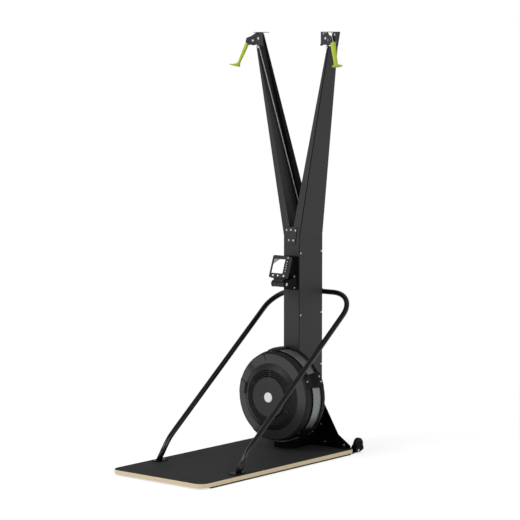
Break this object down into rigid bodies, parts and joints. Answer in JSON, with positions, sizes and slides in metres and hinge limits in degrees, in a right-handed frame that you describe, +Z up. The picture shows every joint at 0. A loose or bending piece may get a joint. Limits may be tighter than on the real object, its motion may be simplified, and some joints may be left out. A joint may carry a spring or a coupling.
{
  "type": "ski trainer machine",
  "caption": "Upright ski trainer: plywood platform, steel column with two splayed arms, pull handles on cords, air-resistance fan, side rails and a tilting monitor.",
  "frame": {"origin": "on the floor, under the centre of the bounding box", "axes": "+Z up; +Y from the user's end of the platform towards the column; +X to the user's right"},
  "size_m": [0.7554, 1.285, 2.166],
  "materials": {
    "black_paint": "satin",
    "deep_black_paint": "satin",
    "plywood": "varnished, bare edge",
    "grip_surface": "matt, fine texture",
    "black_plastic": "semi-gloss",
    "satin_plastic": "satin",
    "green_plastic": "satin",
    "black_rubber": "matt",
    "steel": "satin",
    "screen_steel": "perforated sheet, satin",
    "cord_cover": "braided",
    "white_plastic": "semi-gloss",
    "lens": "clear over a pale display"
  },
  "bodies": {
    "stand": {"platform_board": "plywood", "grip_sheet": "grip_surface", "left_runner": "black_rubber", "right_runner": "black_rubber", "rear_beam": "deep_black_paint", "left_wheel_bracket": "deep_black_paint", "right_wheel_bracket": "deep_black_paint", "column_foot": "deep_black_paint", "column": "black_paint", "left_arm": "black_paint", "right_arm": "black_paint", "junction_cover": "black_paint", "support_rail": "deep_black_paint", "rail_clamp": "deep_black_paint", "left_pulley_bracket": "black_paint", "right_pulley_bracket": "black_paint", "left_pulley_axle": "steel", "right_pulley_axle": "steel", "left_drive_cord": "cord_cover", "right_drive_cord": "cord_cover", "left_guide_axle": "steel", "right_guide_axle": "steel", "front_bearing": "steel", "rear_bearing": "steel", "left_recoil_case": "steel", "right_recoil_case": "steel", "fan_front_cover": "black_plastic", "intake_grille": "satin_plastic", "hub_cap": "white_plastic", "fan_screen": "screen_steel", "fan_rear_housing": "black_plastic", "cage_clip_1": "black_plastic", "cage_clip_2": "black_plastic", "cage_clip_3": "black_plastic", "cage_clip_4": "black_plastic", "cage_clip_5": "black_plastic", "monitor_bracket": "deep_black_paint", "tilt_bolt": "steel"},
    "fan": {"fan_wheel": "satin_plastic", "fan_axle": "steel"},
    "damper": {"damper_ring": "satin_plastic"},
    "monitor": {"monitor_front": "black_plastic", "monitor_screen": "lens", "monitor_back": "black_plastic", "key_strip": "black_rubber"},
    "left_key": {"left_button": "white_plastic"},
    "middle_key": {"middle_button": "white_plastic"},
    "right_key": {"right_button": "white_plastic"},
    "left_grip": {"left_handle": "green_plastic", "left_cord_lead": "cord_cover"},
    "right_grip": {"right_handle": "green_plastic", "right_cord_lead": "cord_cover"},
    "left_top_sheave": {"left_top_pulley": "black_plastic"},
    "right_top_sheave": {"right_top_pulley": "black_plastic"},
    "left_guide_sheave": {"left_guide_pulley": "black_plastic"},
    "right_guide_sheave": {"right_guide_pulley": "black_plastic"},
    "left_drum": {"left_cord_drum": "black_plastic"},
    "right_drum": {"right_cord_drum": "black_plastic"},
    "left_wheel": {"left_transport_wheel": "black_rubber"},
    "right_wheel": {"right_transport_wheel": "black_rubber"}
  },
  "joints": [
    {"name": "fan_spin", "type": "hinge", "parent": "stand", "child": "fan", "pos_m": [0, 0.3965, 0.3075], "axis": [0, 1, 0], "continuous": true},
    {"name": "damper_turn", "type": "hinge", "parent": "stand", "child": "damper", "pos_m": [0, 0.2365, 0.3075], "axis": [0, 1, 0], "range_deg": [0, 75]},
    {"name": "monitor_tilt", "type": "hinge", "parent": "stand", "child": "monitor", "pos_m": [0, 0.2995, 0.884], "axis": [1, 0, 0], "range_deg": [-15, 30]},
    {"name": "left_key_press", "type": "slide", "parent": "monitor", "child": "left_key", "axis": [0, 0.9426, -0.3338], "range_m": [0, 0.0015], "stiffness_N_per_m": 400},
    {"name": "middle_key_press", "type": "slide", "parent": "monitor", "child": "middle_key", "axis": [0, 0.9426, -0.3338], "range_m": [0, 0.0015], "stiffness_N_per_m": 400},
    {"name": "right_key_press", "type": "slide", "parent": "monitor", "child": "right_key", "axis": [0, 0.9426, -0.3338], "range_m": [0, 0.0015], "stiffness_N_per_m": 400},
    {"name": "left_pull", "type": "slide", "parent": "stand", "child": "left_grip", "axis": [-0.1, -0.3599, -0.9276], "range_m": [0, 1.4], "stiffness_N_per_m": 5, "springref_m": -2, "deforming": ["left_cord_lead"]},
    {"name": "right_pull", "type": "slide", "parent": "stand", "child": "right_grip", "axis": [0.1, -0.3599, -0.9276], "range_m": [0, 1.4], "stiffness_N_per_m": 5, "springref_m": -2, "deforming": ["right_cord_lead"]},
    {"name": "left_top_spin", "type": "hinge", "parent": "stand", "child": "left_top_sheave", "pos_m": [-0.25438, 0.39367, 2.1225], "axis": [0.5388, -0.8425, 0], "continuous": true},
    {"name": "right_top_spin", "type": "hinge", "parent": "stand", "child": "right_top_sheave", "pos_m": [0.25438, 0.39367, 2.1225], "axis": [0.5388, 0.8425, 0], "continuous": true},
    {"name": "left_guide_spin", "type": "hinge", "parent": "stand", "child": "left_guide_sheave", "pos_m": [-0.032, 0.5595, 1.088], "axis": [0, 1, 0], "continuous": true},
    {"name": "right_guide_spin", "type": "hinge", "parent": "stand", "child": "right_guide_sheave", "pos_m": [-0.008, 0.4235, 1.088], "axis": [0, 1, 0], "continuous": true},
    {"name": "left_drum_spin", "type": "hinge", "parent": "stand", "child": "left_drum", "pos_m": [0, 0.5595, 0.3075], "axis": [0, 1, 0], "continuous": true},
    {"name": "right_drum_spin", "type": "hinge", "parent": "stand", "child": "right_drum", "pos_m": [0, 0.4235, 0.3075], "axis": [0, 1, 0], "continuous": true},
    {"name": "left_wheel_spin", "type": "hinge", "parent": "stand", "child": "left_wheel", "pos_m": [-0.274, 0.6085, 0.045], "axis": [1, 0, 0], "continuous": true},
    {"name": "right_wheel_spin", "type": "hinge", "parent": "stand", "child": "right_wheel", "pos_m": [0.274, 0.6085, 0.045], "axis": [1, 0, 0], "continuous": true}
  ],
  "couplings": [
    {"joint": "left_top_spin", "follows": "left_pull", "rad_per_m": 47.619},
    {"joint": "right_top_spin", "follows": "right_pull", "rad_per_m": 47.619},
    {"joint": "left_guide_spin", "follows": "left_pull", "rad_per_m": -83.333},
    {"joint": "right_guide_spin", "follows": "right_pull", "rad_per_m": 83.333},
    {"joint": "left_drum_spin", "follows": "left_pull", "rad_per_m": 50},
    {"joint": "right_drum_spin", "follows": "right_pull", "rad_per_m": 50}
  ]
}
